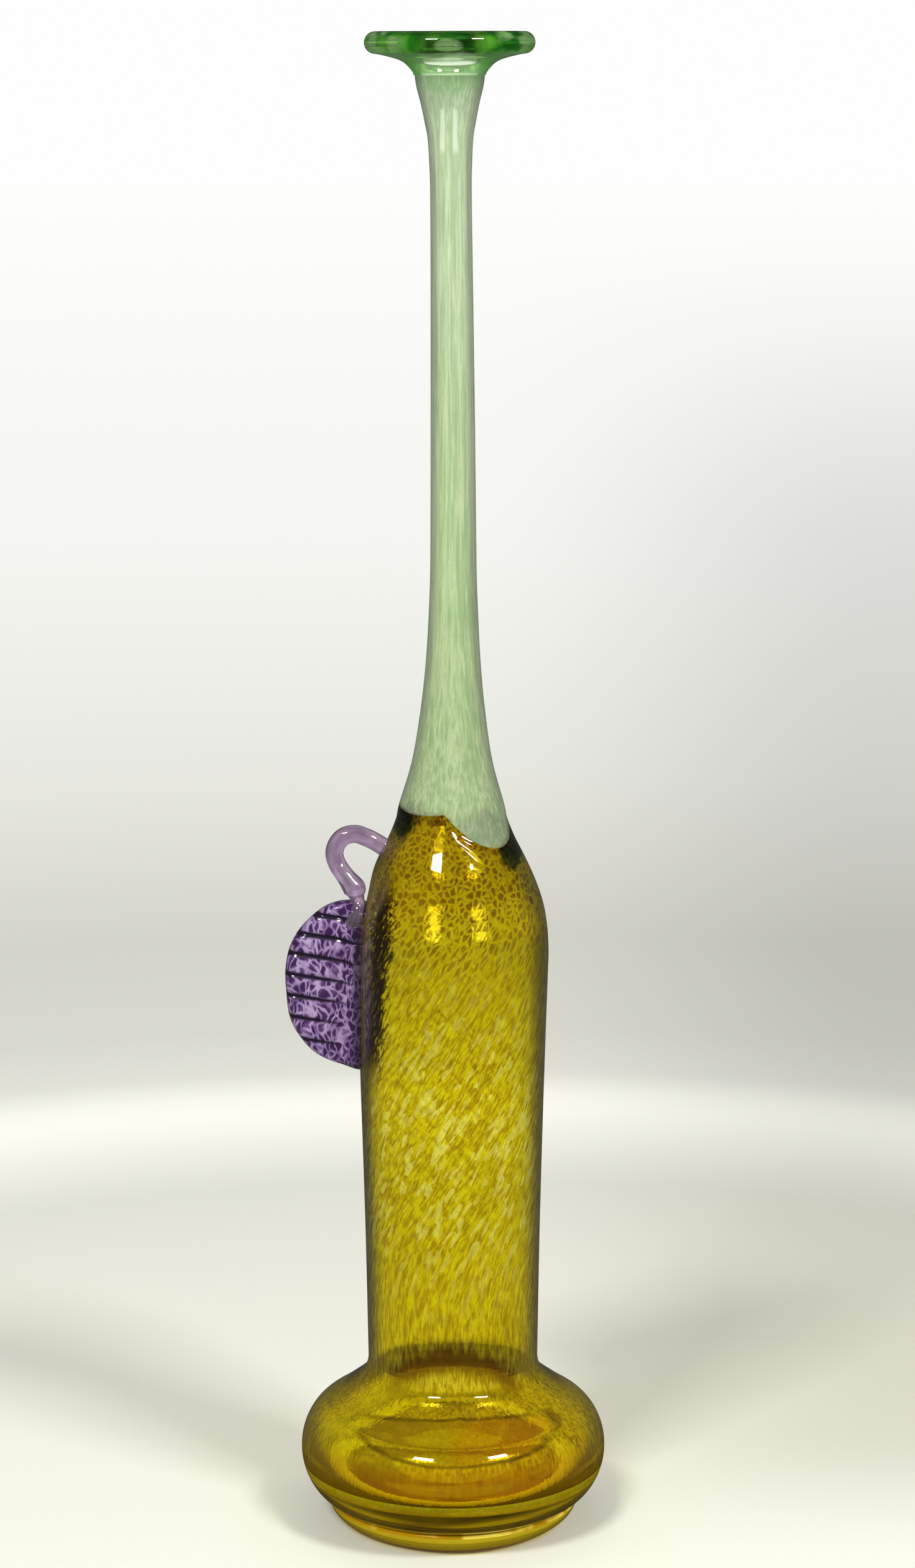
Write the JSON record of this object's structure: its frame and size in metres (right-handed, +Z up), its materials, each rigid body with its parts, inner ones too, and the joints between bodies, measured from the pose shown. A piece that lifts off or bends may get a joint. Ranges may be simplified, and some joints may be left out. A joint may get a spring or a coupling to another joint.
{
  "type": "bottle_vase",
  "caption": "Free-standing tall glass vase with a ring shaped bulge at the base, a slim flared neck under a thick round lip, and a grooved leaf and curled tendril applied to one side.",
  "frame": {"origin": "Centre of the flat underside of the foot, on the axis of the vase.", "axes": "+Z is up along the axis. -X points to the side with the leaf and tendril. The front view looks along +Y."},
  "size_m": [0.0753, 0.0724, 0.35],
  "materials": {
    "foot": "glossy, clear yellow amber, no specks",
    "amber": "glossy, clear casing over slanted olive, yellow and brown specks",
    "green": "glossy, clear casing over milky pale green with fine upright streaks",
    "emerald": "glossy, clear deep green",
    "purple": "glossy, light lavender web over dark purple",
    "lavender": "glossy, see-through lavender"
  },
  "bodies": {
    "root": {"foot": "foot", "body": "amber", "neck": "green", "lip": "emerald", "leaf": "purple", "tendril": "lavender"}
  },
  "joints": []
}
